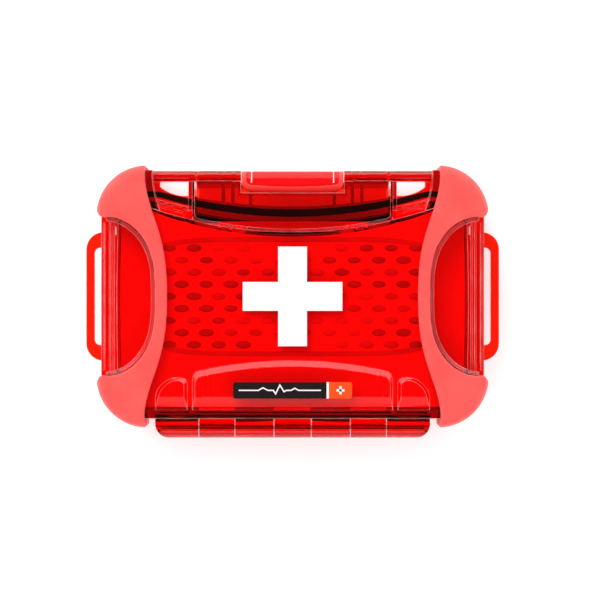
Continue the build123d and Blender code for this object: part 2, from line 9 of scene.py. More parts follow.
import bpy
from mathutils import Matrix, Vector


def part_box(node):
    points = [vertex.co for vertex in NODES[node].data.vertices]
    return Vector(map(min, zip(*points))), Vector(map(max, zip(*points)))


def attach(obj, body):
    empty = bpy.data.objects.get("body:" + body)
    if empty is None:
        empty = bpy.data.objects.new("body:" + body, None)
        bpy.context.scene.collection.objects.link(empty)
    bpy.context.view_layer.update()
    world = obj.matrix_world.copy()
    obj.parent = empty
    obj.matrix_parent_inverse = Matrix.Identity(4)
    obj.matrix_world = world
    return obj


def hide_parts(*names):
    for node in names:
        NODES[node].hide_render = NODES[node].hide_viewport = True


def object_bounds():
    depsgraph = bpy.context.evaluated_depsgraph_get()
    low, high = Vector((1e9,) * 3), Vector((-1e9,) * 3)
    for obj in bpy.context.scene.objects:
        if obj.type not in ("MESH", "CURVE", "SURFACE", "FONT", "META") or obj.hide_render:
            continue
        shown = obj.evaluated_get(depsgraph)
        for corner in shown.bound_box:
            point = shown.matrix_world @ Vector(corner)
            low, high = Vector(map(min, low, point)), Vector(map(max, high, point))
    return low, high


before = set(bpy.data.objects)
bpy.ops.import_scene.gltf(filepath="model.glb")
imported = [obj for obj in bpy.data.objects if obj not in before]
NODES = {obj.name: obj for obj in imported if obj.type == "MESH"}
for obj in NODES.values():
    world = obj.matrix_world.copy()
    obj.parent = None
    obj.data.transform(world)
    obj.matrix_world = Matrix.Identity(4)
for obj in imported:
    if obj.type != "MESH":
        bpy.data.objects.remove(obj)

CAD_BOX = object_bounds()
MM = 0.001
random.seed(7)

# what a millimetre of the red plastic takes out of red, green and blue light
RED_PER_MM = (0.022, 1.2, 1.7)
PAINTED_GLINT_WIDTH = 0.28 * MM        # width of the painted glint: pale lines drawn along the shell's edges
PAINTED_GLINT_DEPTH = 2.5             # how many see-through faces deep the painted glint still shows
CURVE_ANGLE = 14             # facets that meet at less than this many degrees shade as a curve
PIN_CURVE_ANGLE = 32         # the same for pins and for small soft parts

# oval nubs between the lid's liner and its panel
NUB_PITCH_X, NUB_PITCH_Y = 10.6 * MM, 5.2 * MM
NUB_HALF_X, NUB_HALF_Y, NUB_HEIGHT = 3.2 * MM, 1.6 * MM, 0.78 * MM
NUB_FIELD_X, NUB_FIELD_Y, NUB_FIELD_BOW = 54.0 * MM, 20.5 * MM, 5.0 * MM
BURY = 0.1 * MM              # added pieces start this far inside what they stand on

WORLD_STRENGTH = 0.9
CEILING_RISE, CEILING_LEVEL = (0.80, 0.93), 0.06     # sine of elevation; brightness overhead
BOX_RISE, BOX_LEVEL = (0.25, 0.65), 3.2              # share of a direction towards -Y

FRAME_WIDTH = 259.2 * MM
LENS, SENSOR = 200.0, 36.0


# ------------------------------------------------------------------ node material helpers
class Shader:
    """A material's node tree, with short calls for adding nodes and joining them."""

    def __init__(self, name):
        self.material = bpy.data.materials.new(name)
        self.material.use_nodes = True
        self.tree = self.material.node_tree
        self.tree.nodes.clear()
        self.out = self.tree.nodes.new("ShaderNodeOutputMaterial")
        self.coords = self.add("ShaderNodeTexCoord")
        self.position = self.coords.outputs["Object"]
        self.uv = self.coords.outputs["UV"]

    def add(self, kind, inputs=None, **settings):
        node = self.tree.nodes.new(kind)
        for key, value in settings.items():
            setattr(node, key, value)
        for key, value in (inputs or {}).items():
            if isinstance(value, bpy.types.NodeSocket):
                self.tree.links.new(value, node.inputs[key])
            elif value is not None:
                node.inputs[key].default_value = value
        return node

    def math(self, operation, a, b=None, c=None, clamp=False):
        inputs = {0: a}
        if b is not None:
            inputs[1] = b
        if c is not None:
            inputs[2] = c
        return self.add("ShaderNodeMath", inputs, operation=operation, use_clamp=clamp).outputs[0]

    def noise(self, scale, detail=3.0, vector=None, roughness=0.5):
        node = self.add(
            "ShaderNodeTexNoise",
            {"Vector": vector or self.position, "Scale": scale, "Detail": detail,
             "Roughness": roughness},
        )
        return node.outputs["Fac"]

    def ramp(self, value, low, high, to_low=0.0, to_high=1.0):
        node = self.add("ShaderNodeMapRange", {0: value, 1: low, 2: high, 3: to_low, 4: to_high})
        return node.outputs[0]

    def mix(self, factor, a, b):
        node = self.add("ShaderNodeMix", {"Factor": factor}, data_type="RGBA")
        for socket, value in ((node.inputs[6], a), (node.inputs[7], b)):
            if isinstance(value, bpy.types.NodeSocket):
                self.tree.links.new(value, socket)
            else:
                socket.default_value = value
        return node.outputs[2]

    def bump(self, height, distance, strength=1.0, edge=0.0):
        """Bumped normal; edge rounds the look of sharp edges by that radius."""
        rounded = self.add("ShaderNodeBevel", {"Radius": edge}, samples=4).outputs[0] if edge else None
        node = self.add(
            "ShaderNodeBump",
            {"Height": height, "Distance": distance, "Strength": strength, "Normal": rounded},
        )
        return node.outputs["Normal"]

    def principled(self, **inputs):
        named = {key.replace("_", " "): value for key, value in inputs.items()}
        node = self.add("ShaderNodeBsdfPrincipled")
        for key, value in named.items():
            if isinstance(value, bpy.types.NodeSocket):
                self.tree.links.new(value, node.inputs[key])
            else:
                node.inputs[key].default_value = value
        return node.outputs[0]

    def surface(self, socket):
        self.tree.links.new(socket, self.out.inputs["Surface"])
        return self.material

    def volume(self, socket):
        self.tree.links.new(socket, self.out.inputs["Volume"])

    def xyz(self, vector=None):
        return self.add("ShaderNodeSeparateXYZ", {0: vector or self.position}).outputs


def rgb(r, g, b):
    """Linear colour from 8-bit display values."""
    def linear(c):
        c /= 255
        return c / 12.92 if c <= 0.04045 else ((c + 0.055) / 1.055) ** 2.4
    return (linear(r), linear(g), linear(b), 1.0)


# ------------------------------------------------------------------ materials
def polycarbonate(name):
    """See-through moulded plastic, faintly smudged, with a painted glint: fine pale, faintly glowing
    lines along its edges.
    """
    s = Shader(name)
    smudge = s.noise(220.0, 4.0)
    flow = s.noise(60.0, 2.0)
    normal = s.bump(flow, 0.00003, 0.3)
    glass = s.principled(
        Base_Color=(1.0, 0.97, 0.97, 1.0), Transmission_Weight=1.0, IOR=1.5,
        Roughness=s.ramp(smudge, 0.35, 0.75, 0.008, 0.04), Normal=normal,
    )
    # painted glint: a pale pink, faintly glowing face standing in for highlights along the edges
    painted_glint = s.principled(
        Base_Color=(1.0, 0.62, 0.60, 1.0), Roughness=0.3, Specular_IOR_Level=0.6,
        Emission_Color=(1.0, 0.42, 0.40, 1.0), Emission_Strength=0.10,
    )
    path = s.add("ShaderNodeLightPath").outputs
    rounded = s.add("ShaderNodeBevel", {"Radius": PAINTED_GLINT_WIDTH}, samples=6).outputs[0]
    face = s.add("ShaderNodeNewGeometry").outputs["True Normal"]
    agree = s.add("ShaderNodeVectorMath", {0: rounded, 1: face}, operation="DOT_PRODUCT")
    bend = s.math("SUBTRACT", 1.0, s.math("ABSOLUTE", agree.outputs["Value"]))
    # the painted glint fades in and out along the edges by noise
    glint_breakup = s.ramp(s.noise(150.0, 2.0), 0.35, 0.65, 0.35, 0.8)
    edge = s.math("MULTIPLY", s.ramp(bend, 0.015, 0.10), glint_breakup)
    with_painted_glint = s.add("ShaderNodeMixShader", {0: edge, 1: glass, 2: painted_glint}).outputs[0]
    near = s.math("LESS_THAN", path["Transmission Depth"], PAINTED_GLINT_DEPTH)
    body = s.add("ShaderNodeMixShader", {0: near, 1: glass, 2: with_painted_glint}).outputs[0]
    clear = s.add("ShaderNodeBsdfTransparent", {"Color": (0.98, 0.97, 0.97, 1.0)}).outputs[0]
    unbent = s.math("MAXIMUM", path["Is Shadow Ray"], path["Is Diffuse Ray"])
    mixed = s.add("ShaderNodeMixShader", {0: unbent, 1: body, 2: clear}).outputs[0]
    absorbed(s, RED_PER_MM)
    return s.surface(mixed)


def absorbed(s, per_mm):
    """Colours a see-through body by its thickness: per_mm is what a millimetre takes."""
    density = 1.0 / MM * max(per_mm)
    kept = [1.0 - k / max(per_mm) for k in per_mm]
    s.volume(s.add(
        "ShaderNodeVolumeAbsorption", {"Color": (*kept, 1.0), "Density": density},
    ).outputs[0])


def satin_plastic(name, colour, dark):
    """Solid-coloured moulded plastic with a satin face and faint flow marks."""
    s = Shader(name)
    flow = s.noise(70.0, 3.0)
    fine = s.noise(3200.0, 2.0)
    tone = s.mix(s.ramp(flow, 0.3, 0.75), colour, dark)
    return s.surface(s.principled(
        Base_Color=tone, Roughness=s.ramp(flow, 0.3, 0.7, 0.16, 0.24), Specular_IOR_Level=0.3,
        Subsurface_Weight=0.1, Subsurface_Radius=(1.0, 0.1, 0.1), Subsurface_Scale=0.0008,
        Normal=s.bump(fine, 0.00001, 0.5, edge=0.3 * MM),
    ))


def elastomer(name, colour, dark, grain=0.00003):
    """Soft overmoulded skin: a fine even grain, a soft sheen and slightly darker specks on the grain
    as painted shade.
    """
    s = Shader(name)
    fine = s.noise(5200.0, 2.0)
    broad = s.noise(90.0, 3.0)
    tone = s.mix(s.ramp(broad, 0.3, 0.75), colour, dark)
    # painted shade: darker specks where the fine grain noise is high
    painted_grain_shade = s.mix(s.ramp(fine, 0.45, 0.8, 0.0, 0.25), tone, dark)
    return s.surface(s.principled(
        Base_Color=painted_grain_shade, Roughness=s.ramp(broad, 0.2, 0.8, 0.48, 0.58),
        Specular_IOR_Level=0.4, Sheen_Weight=0.12, Sheen_Roughness=0.5,
        Subsurface_Weight=0.12, Subsurface_Radius=(1.0, 0.3, 0.25), Subsurface_Scale=0.0012,
        Normal=s.bump(fine, grain, 0.6),
    ))


def rubber(name, colour, dark, rough=0.6, grain=0.00004):
    """Matt moulded rubber with a fine grain."""
    s = Shader(name)
    fine = s.noise(2600.0, 3.0)
    broad = s.noise(45.0, 2.0)
    tone = s.mix(s.ramp(broad, 0.3, 0.7), colour, dark)
    return s.surface(s.principled(
        Base_Color=tone, Roughness=s.ramp(fine, 0.3, 0.7, rough - 0.06, rough + 0.08),
        Specular_IOR_Level=0.35, Normal=s.bump(fine, grain, 0.5, edge=0.35 * MM),
    ))


def brushed_steel(name, axis):
    """Steel with fine marks along one axis."""
    s = Shader(name)
    x, y, z = s.xyz()
    stretch = [2500.0, 2500.0, 2500.0]
    stretch["XYZ".index(axis)] = 40.0
    place = s.add("ShaderNodeVectorMath", {0: s.position, 1: stretch}, operation="MULTIPLY")
    marks = s.noise(1.0, 4.0, place.outputs[0])
    stain = s.noise(120.0, 3.0)
    tone = s.mix(s.ramp(stain, 0.35, 0.75), (0.72, 0.72, 0.74, 1), (0.55, 0.55, 0.57, 1))
    return s.surface(s.principled(
        Base_Color=tone, Metallic=1.0, Roughness=s.ramp(marks, 0.3, 0.75, 0.18, 0.36),
        Normal=s.bump(marks, 0.00001, 0.5, edge=0.2 * MM),
    ))


def printed_vinyl(name, colour, worn, rough=0.35):
    """Printed film: slight orange-peel, faint scuffs."""
    s = Shader(name)
    peel = s.noise(1400.0, 2.0)
    scuff = s.noise(260.0, 5.0, roughness=0.7)
    tone = s.mix(s.ramp(scuff, 0.62, 0.8, 0.0, 0.35), colour, worn)
    return s.surface(s.principled(
        Base_Color=tone, Roughness=s.ramp(scuff, 0.35, 0.75, rough - 0.05, rough + 0.15),
        Specular_IOR_Level=0.2, Normal=s.bump(peel, 0.00001, 0.35, edge=0.08 * MM),
    ))


def weave(name, colour, painted_shade, pitch, depth, crinkle=0.0):
    """Woven cloth drawn on UVs in millimetres, with painted shade in the gaps between its threads and
    on its fuzz.
    """
    s = Shader(name)
    u, v, _ = s.xyz(s.uv)
    wobble = s.noise(0.35, 2.0, s.uv)
    warp = s.math("MULTIPLY", s.math("SUBTRACT", wobble, 0.5), 0.8)
    across = s.math("ABSOLUTE", s.math("SINE", s.math("MULTIPLY", s.math("ADD", u, warp),
                                                     math.pi / pitch)))
    along = s.math("ABSOLUTE", s.math("SINE", s.math("MULTIPLY", s.math("ADD", v, warp),
                                                    math.pi / pitch)))
    thread = s.math("MAXIMUM", across, along)
    fuzz = s.noise(6.0, 3.0, s.uv)
    height = s.math("ADD", thread, s.math("MULTIPLY", fuzz, 0.4))
    if crinkle:
        ridges = s.math("SINE", s.math("MULTIPLY", s.math("ADD", v, s.math("MULTIPLY", wobble, 3.0)),
                                       math.pi * 2 / (pitch * 3)))
        height = s.math("ADD", height, s.math("MULTIPLY", ridges, crinkle))
    # painted shade: the gaps between threads take the darker colour, and so do the fuzz's blotches
    gap = s.ramp(thread, 0.25, 0.75)
    tone = s.mix(gap, painted_shade, colour)
    tone = s.mix(s.ramp(fuzz, 0.4, 0.8, 0.0, 0.3), tone, painted_shade)
    shader = s.principled(
        Base_Color=tone, Roughness=0.92, Specular_IOR_Level=0.15, Sheen_Weight=0.35,
        Sheen_Roughness=0.6, Normal=s.bump(height, depth, 0.9),
    )
    return s.surface(shader)


def packet_film(name, colour, band, trim, gloss=0.5, band_width=0.18):
    """Printed sachet on UVs from 0 to 1: a plain field with two coloured bands, no lettering."""
    s = Shader(name)
    u, v, _ = s.xyz(s.uv)
    fibre = s.noise(900.0, 4.0)
    crease = s.noise(140.0, 4.0, roughness=0.6)
    from_middle = s.math("ABSOLUTE", s.math("SUBTRACT", v, 0.5))
    in_band = s.math("LESS_THAN", s.math("ABSOLUTE", s.math("SUBTRACT", from_middle, 0.26)),
                     band_width / 2)
    in_line = s.math("LESS_THAN", s.math("ABSOLUTE", s.math("SUBTRACT", from_middle, 0.4)), 0.012)
    tone = s.mix(in_band, colour, band)
    tone = s.mix(in_line, tone, trim)
    # painted shade: the film greys a little where the crease noise is high
    tone = s.mix(s.ramp(crease, 0.5, 0.8, 0.0, 0.18), tone, (0.55, 0.55, 0.56, 1))
    return s.surface(s.principled(
        Base_Color=tone, Roughness=s.ramp(fibre, 0.3, 0.7, gloss - 0.1, gloss + 0.1),
        Specular_IOR_Level=0.3, Normal=s.bump(s.math("ADD", crease, s.math("MULTIPLY", fibre, 0.2)),
                                              0.0003, 0.35),
    ))


def wound_tape(name, centre):
    """Side of a wound roll: fine rings about a vertical axis, painted darker in their grooves as
    shade, and a woven outer face.
    """
    s = Shader(name)
    local = s.add("ShaderNodeVectorMath", {0: s.position, 1: centre}, operation="SUBTRACT")
    x, y, z = s.xyz(local.outputs[0])
    radius = s.math("SQRT", s.math("ADD", s.math("MULTIPLY", x, x), s.math("MULTIPLY", y, y)))
    rings = s.math("SINE", s.math("MULTIPLY", radius, 2 * math.pi / 0.00045))
    threads = s.math("SINE", s.math("MULTIPLY", z, 2 * math.pi / 0.0007))
    grain = s.noise(1500.0, 3.0)
    height = s.math("ADD", s.math("ADD", rings, s.math("MULTIPLY", threads, 0.6)), grain)
    # painted shade: darker in the grooves between the wound layers, lighter on their crests
    tone = s.mix(s.ramp(rings, -0.6, 0.9), rgb(196, 190, 178), rgb(233, 229, 220))
    return s.surface(s.principled(
        Base_Color=tone, Roughness=0.8, Specular_IOR_Level=0.2,
        Normal=s.bump(height, 0.00006, 0.7),
    ))


def studio_floor(name):
    """Pale paper sweep that glows a little, so that it reads as clean white."""
    s = Shader(name)
    grain = s.noise(400.0, 3.0)
    diffuse = s.principled(Base_Color=(0.86, 0.86, 0.86, 1), Roughness=0.9,
                           Normal=s.bump(grain, 0.00005, 0.2))
    glow = s.add("ShaderNodeEmission", {"Color": (1, 1, 1, 1), "Strength": 0.3}).outputs[0]
    return s.surface(s.add("ShaderNodeAddShader", {0: diffuse, 1: glow}).outputs[0])


# ------------------------------------------------------------------ mesh helpers
def piece_from(name, verts, faces, body, material, smooth=True):
    """New mesh piece that moves with a CAD body."""
    mesh = bpy.data.meshes.new(name)
    mesh.from_pydata(verts, [], faces)
    mesh.validate()
    mesh.update()
    obj = bpy.data.objects.new(name, mesh)
    bpy.context.scene.collection.objects.link(obj)
    mesh.materials.append(material)
    for polygon in mesh.polygons:
        polygon.use_smooth = smooth
    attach(obj, body)
    return obj


def set_uvs(obj, uv_of_vertex):
    """UVs from one pair of numbers for each vertex."""
    layer = obj.data.uv_layers.new(name="UVMap")
    for loop in obj.data.loops:
        layer.data[loop.index].uv = uv_of_vertex[loop.vertex_index]


def paint(node, material):
    """Gives a CAD node one material."""
    mesh = NODES[node].data
    mesh.materials.clear()
    mesh.materials.append(material)


def crisp_edges(node, angle=CURVE_ANGLE):
    """Smooth shading on a CAD node's curves with hard edges, by modifiers only."""
    obj = NODES[node]
    weld = obj.modifiers.new("weld", "WELD")
    weld.merge_threshold = 0.00001
    split = obj.modifiers.new("edges", "EDGE_SPLIT")
    split.split_angle = math.radians(angle)
    for polygon in obj.data.polygons:
        polygon.use_smooth = True
    even = obj.modifiers.new("normals", "WEIGHTED_NORMAL")
    even.mode = "FACE_AREA"
    even.weight = 100
    even.thresh = 0.01


def soft_copy(node, name, body, material, voxel, passes, shrink):
    """Rounded copy of a CAD node: remeshed evenly, smoothed along its edges and set in a little."""
    source = NODES[node]
    mesh = source.data.copy()
    obj = bpy.data.objects.new(name, mesh)
    bpy.context.scene.collection.objects.link(obj)
    weld = obj.modifiers.new("weld", "WELD")
    weld.merge_threshold = 0.00001
    remesh = obj.modifiers.new("remesh", "REMESH")
    remesh.mode = "VOXEL"
    remesh.voxel_size = voxel
    smooth = obj.modifiers.new("smooth", "SMOOTH")
    smooth.iterations = passes
    smooth.factor = 0.5
    inset = obj.modifiers.new("inset", "DISPLACE")
    inset.strength = -shrink
    inset.mid_level = 0.0
    graph = bpy.context.evaluated_depsgraph_get()
    final = bpy.data.meshes.new_from_object(obj.evaluated_get(graph))
    obj.modifiers.clear()
    obj.data = final
    final.materials.clear()
    final.materials.append(material)
    for polygon in final.polygons:
        polygon.use_smooth = True
    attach(obj, body)
    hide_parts(node)
    return obj


# ------------------------------------------------------------------ liner nubs
def nub_mesh(verts, faces, x, y, z, half_x, half_y, height):
    """Adds one oval dome, flat side down at z."""
    rings, segments = 5, 16
    start = len(verts)
    for ring in range(rings):
        angle = math.pi / 2 * ring / rings
        for k in range(segments):
            turn = 2 * math.pi * k / segments
            verts.append((
                x + half_x * math.cos(angle) * math.cos(turn),
                y + half_y * math.cos(angle) * math.sin(turn),
                z + height * math.sin(angle),
            ))
    top = len(verts)
    verts.append((x, y, z + height))
    base = len(verts)
    verts.append((x, y, z))
    for ring in range(rings - 1):
        for k in range(segments):
            a = start + ring * segments + k
            b = start + ring * segments + (k + 1) % segments
            faces.append((a, b, b + segments, a + segments))
    last = start + (rings - 1) * segments
    for k in range(segments):
        faces.append((last + k, last + (k + 1) % segments, top))
        faces.append((start + (k + 1) % segments, start + k, base))


def liner_nubs(shaded_tones):
    """Staggered oval nubs between the lid's liner and its panel; they darken to the sides as painted
    shade, using lit and shaded copies of one rubber.
    """
    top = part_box("lid_liner")[1].z
    centre_y = (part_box("cross_decal")[0].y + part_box("cross_decal")[1].y) / 2
    groups = [([], []) for _ in shaded_tones]
    rows = int((NUB_FIELD_Y + NUB_FIELD_BOW) / NUB_PITCH_Y) + 1
    columns = int(NUB_FIELD_X / NUB_PITCH_X) + 1
    for row in range(-rows, rows + 1):
        shift = NUB_PITCH_X / 2 if row % 2 else 0.0
        for column in range(-columns, columns + 1):
            x = column * NUB_PITCH_X + shift
            y = row * NUB_PITCH_Y
            outward = abs(x) / NUB_FIELD_X
            if outward > 1 or abs(y) > NUB_FIELD_Y + NUB_FIELD_BOW * outward ** 2:
                continue
            # painted shade: nubs further out tend to get the darker copies of the rubber
            pick = outward + random.uniform(-0.45, 0.45)
            group = 0 if pick < 0.3 else (1 if pick < 0.62 else 2)
            verts, faces = groups[group]
            size = random.uniform(0.9, 1.08)
            nub_mesh(verts, faces, x, centre_y + y, top - BURY, NUB_HALF_X * size,
                     NUB_HALF_Y * size, NUB_HEIGHT + BURY)
    for index, (tone, (verts, faces)) in enumerate(zip(shaded_tones, groups)):
        obj = piece_from(f"lid_liner_nubs_{index + 1}", verts, faces, "lid", tone)


def liner_brow(tone):
    """Low raised bands of the liner along the front and back of the field of nubs, in a darker copy of
    its rubber as painted shade along the field's border.
    """
    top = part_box("lid_liner")[1].z
    centre_y = (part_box("cross_decal")[0].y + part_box("cross_decal")[1].y) / 2
    for name, side in (("front", -1), ("back", 1)):
        points = []
        for k in range(41):
            u = k / 20 - 1
            points.append((u * 55 * MM, centre_y + side * (24.6 - 2.6 * abs(u) ** 6) * MM))
        band = ribbon(f"lid_liner_brow_{name}", points, 1.9 * MM, top - 0.1 * MM, 0.5 * MM,
                      "lid", tone)


# ------------------------------------------------------------------ supplies
def spiral_roll(name, node, core, layer, thick, material, tail=0.35):
    """Bandage wound on itself: one strip along a spiral, lying along Y."""
    low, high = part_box(node)
    middle = (low + high) / 2
    r_out = (high.z - low.z) / 2
    turns = (r_out - core - thick) / layer
    per_turn = 56
    steps = int(turns * per_turn)
    half = (high.y - low.y) / 2
    verts, uvs, arc = [], [], 0.0
    for i in range(steps + 1):
        turn = i / per_turn
        angle = 2 * math.pi * turn + tail
        r = core + layer * turn
        flat = 1.0 - 0.012 * math.sin(3 * angle) * (r / r_out)
        y0 = -half + 0.25 * MM * random.random()
        y1 = half - 0.25 * MM * random.random()
        for radius, y in ((r, y0), (r, y1), (r + thick, y1), (r + thick, y0)):
            verts.append((
                middle.x + radius * flat * math.cos(angle), middle.y + y,
                middle.z + radius * flat * math.sin(angle),
            ))
            uvs.append((arc / MM, y / MM))
        arc += 2 * math.pi * r / per_turn
    faces = [(3, 2, 1, 0)]
    for i in range(steps):
        a, b = 4 * i, 4 * (i + 1)
        for k in range(4):
            n = (k + 1) % 4
            faces.append((a + k, a + n, b + n, b + k))
    end = 4 * steps
    faces.append((end, end + 1, end + 2, end + 3))
    obj = piece_from(name, verts, faces, "base", material)
    set_uvs(obj, uvs)
    sharp = obj.modifiers.new("edges", "EDGE_SPLIT")
    sharp.split_angle = math.radians(50)
    return obj


def packet(name, centre, size_x, size_y, thick, turn, material, crimp=2.6 * MM, teeth=0.45 * MM):
    """Sealed sachet: a soft pillow inside a flat crimped border with pinked ends."""
    nx, ny = 44, 44
    rim = 0.14 * MM
    cos_t, sin_t = math.cos(turn), math.sin(turn)
    verts, uvs = [], []
    for side in (1, -1):
        for i in range(nx + 1):
            for j in range(ny + 1):
                u, v = i / nx, j / ny
                x, y = (u - 0.5) * size_x, (v - 0.5) * size_y
                if j in (0, ny) and i % 2:
                    y -= math.copysign(teeth, y)
                in_x = max(0.0, (size_x / 2 - crimp - abs(x)) / (size_x / 2 - crimp))
                in_y = max(0.0, (size_y / 2 - crimp - abs(y)) / (size_y / 2 - crimp))
                dome = min(1.0, 3.2 * in_x) ** 0.6 * min(1.0, 3.2 * in_y) ** 0.6
                sag = 0.9 + 0.1 * math.sin(9 * u + turn * 40) * math.sin(7 * v + 1)
                ridge = 0.05 * MM * math.sin(abs(y) / (0.35 * MM)) if dome == 0 else 0.0
                z = side * (rim / 2 + (thick - rim) / 2 * dome * sag) + ridge
                verts.append((
                    centre[0] + x * cos_t - y * sin_t, centre[1] + x * sin_t + y * cos_t,
                    centre[2] + z,
                ))
                uvs.append((u, v))
    faces = []
    sheet = (nx + 1) * (ny + 1)
    def at(i, j):
        return i * (ny + 1) + j
    for i in range(nx):
        for j in range(ny):
            quad = (at(i, j), at(i + 1, j), at(i + 1, j + 1), at(i, j + 1))
            faces.append(quad)
            faces.append(tuple(sheet + k for k in reversed(quad)))
    border = [at(i, 0) for i in range(nx)] + [at(nx, j) for j in range(ny)]
    border += [at(i, ny) for i in range(nx, 0, -1)] + [at(0, j) for j in range(ny, 0, -1)]
    for k, a in enumerate(border):
        b = border[(k + 1) % len(border)]
        faces.append((b, a, sheet + a, sheet + b))
    obj = piece_from(name, verts, faces, "base", material)
    set_uvs(obj, uvs)
    return obj


def packet_pile(node, count, material, spread):
    """Packets that stand for a pile's CAD solids, each turned a little."""
    low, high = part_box(node)
    step = (high.z - low.z) / count
    made = []
    for index in range(count):
        centre = (
            (low.x + high.x) / 2 + random.uniform(-1, 1) * 0.3 * MM,
            (low.y + high.y) / 2 + random.uniform(-1, 1) * 0.3 * MM,
            low.z + step * (index + 0.5),
        )
        turn = random.uniform(-spread, spread)
        obj = packet(f"{node}_{index + 1}", centre, high.x - low.x - 1.2 * MM,
                     high.y - low.y - 1.2 * MM, step * 0.96, turn, material)
        made.append(obj)
    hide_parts(node)
    return made


def tape_roll(material):
    """Roll of tape as a lathed ring with slightly uneven layers."""
    low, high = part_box("tape_roll")
    middle = (low + high) / 2
    outer = (high.x - low.x) / 2
    inner = (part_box("tape_spool")[1].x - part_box("tape_spool")[0].x) / 2 + 0.02 * MM
    segments, layers = 96, 22
    profile = [(inner, low.z)]
    for k in range(layers + 1):
        r = inner + (outer - inner) * k / layers
        profile.append((r, low.z + 0.12 * MM * (k % 2)))
    for k in range(layers, -1, -1):
        r = inner + (outer - inner) * k / layers
        profile.append((r, high.z - 0.12 * MM * (k % 2)))
    count = len(profile)
    verts, uvs = [], []
    for s in range(segments):
        a = 2 * math.pi * s / segments
        for r, z in profile:
            verts.append((middle.x + r * math.cos(a), middle.y + r * math.sin(a), z))
            uvs.append((a * outer / MM, z / MM))
    faces = []
    for s in range(segments):
        t = (s + 1) % segments
        for k in range(count):
            n = (k + 1) % count
            faces.append((s * count + k, t * count + k, t * count + n, s * count + n))
    obj = piece_from("medical_tape", verts, faces, "base", material)
    set_uvs(obj, uvs)
    split = obj.modifiers.new("edges", "EDGE_SPLIT")
    split.split_angle = math.radians(60)
    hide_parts("tape_roll")
    return obj


# ------------------------------------------------------------------ label marks
def ribbon(name, points, width, lift, thickness, body, material):
    """Flat line of even width through points in XY, standing on a face at height lift."""
    verts, faces = [], []
    pts = [Vector((x, y, 0)) for x, y in points]
    for i, p in enumerate(pts):
        before = pts[max(i - 1, 0)]
        after = pts[min(i + 1, len(pts) - 1)]
        d1 = (p - before).normalized() if i else (after - p).normalized()
        d2 = (after - p).normalized() if i < len(pts) - 1 else d1
        normal = Vector((-(d1 + d2).y, (d1 + d2).x, 0)).normalized()
        stretch = 1 / max(0.35, normal.dot(Vector((-d1.y, d1.x, 0))))
        for z in (lift, lift + thickness):
            for sign in (1, -1):
                q = p + normal * sign * width / 2 * stretch
                verts.append((q.x, q.y, z))
    for i in range(len(pts) - 1):
        a, b = 4 * i, 4 * (i + 1)
        faces += [(a, a + 1, b + 1, b), (a + 2, b + 2, b + 3, a + 3),
                  (a, b, b + 2, a + 2), (a + 1, a + 3, b + 3, b + 1)]
    end = 4 * (len(pts) - 1)
    faces += [(0, 2, 3, 1), (end, end + 1, end + 3, end + 2)]
    return piece_from(name, verts, faces, body, material, smooth=False)


def label_marks(white):
    """Generic marks in place of lettering: a pulse line on the dark field, a plus on the end."""
    low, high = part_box("label_plate")
    y = (low.y + high.y) / 2
    top = high.z - 0.01 * MM
    span = high.x - low.x
    beats = [(0.06, 0), (0.30, 0), (0.34, 0.9), (0.38, 0), (0.43, 0), (0.455, -0.6), (0.50, 2.3),
             (0.545, -1.5), (0.57, 0), (0.63, 0), (0.68, 1.1), (0.73, 0), (0.94, 0)]
    points = [(low.x + span * u, y - h * MM) for u, h in beats]
    line = ribbon("label_pulse_line", points, 0.55 * MM, top, 0.06 * MM, "lid", white)
    low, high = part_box("label_end")
    x = (low.x + high.x) / 2
    arm = 1.7 * MM
    for name, ends in (("label_plus_a", ((x - arm, y), (x + arm, y))),
                       ("label_plus_b", ((x, y - arm), (x, y + arm)))):
        bar = ribbon(name, ends, 1.0 * MM, top, 0.06 * MM, "lid", white)


# ------------------------------------------------------------------ build
def case_materials():
    """Materials of the case's shell, liners, seal, pins and tweezers, on the CAD nodes."""
    shell = polycarbonate("red_polycarbonate")
    liner = rubber("liner_rubber", rgb(250, 16, 16), rgb(244, 12, 12))
    lever = satin_plastic("latch_plastic", rgb(232, 2, 8), rgb(224, 2, 7))
    seal = rubber("seal_rubber", rgb(52, 22, 20), rgb(36, 16, 16))
    steel_x = brushed_steel("pin_steel", "X")
    steel_y = brushed_steel("tweezer_steel", "Y")
    for node, material in (("lid_shell", shell), ("base_shell", shell), ("latch_lever", lever)):
        paint(node, material)
        crisp_edges(node)
    for node, material in (("lid_liner", liner), ("base_liner", liner), ("gasket", seal),
                           ("hinge_pin", steel_x), ("latch_pin", steel_x),
                           ("tweezers", steel_y)):
        paint(node, material)
        crisp_edges(node, PIN_CURVE_ANGLE)


def soft_skins():
    """Rounded bumpers on both halves, and the latch's soft rim."""
    bumper = elastomer("bumper_elastomer", rgb(243, 80, 75), rgb(232, 68, 64))
    for node, body in (("lid_bumper_right", "lid"), ("lid_bumper_left", "lid"),
                       ("base_bumper_right", "base"), ("base_bumper_left", "base")):
        soft_copy(node, node + "_skin", body, bumper, 0.6 * MM, 6, 0.05 * MM)
    soft_copy("latch_grip", "latch_grip_skin", "latch", bumper, 0.25 * MM, 5, 0.02 * MM)


def nub_field():
    """The lid liner's nubs and bands, in three painted shades of its rubber: a lit, a half-shaded and
    a shaded copy.
    """
    # painted shade: lit, half-shaded and shaded copies of one rubber
    shaded_tones = [rubber("nub_rubber_painted_lit", rgb(240, 12, 12), rgb(216, 9, 11)),
             rubber("nub_rubber_painted_half_shade", rgb(218, 9, 11), rgb(196, 8, 10)),
             rubber("nub_rubber_painted_shade", rgb(192, 8, 10), rgb(166, 6, 8))]
    liner_nubs(shaded_tones)
    # the bands take the half-shaded copy: painted shade along the field's raised border
    liner_brow(shaded_tones[1])


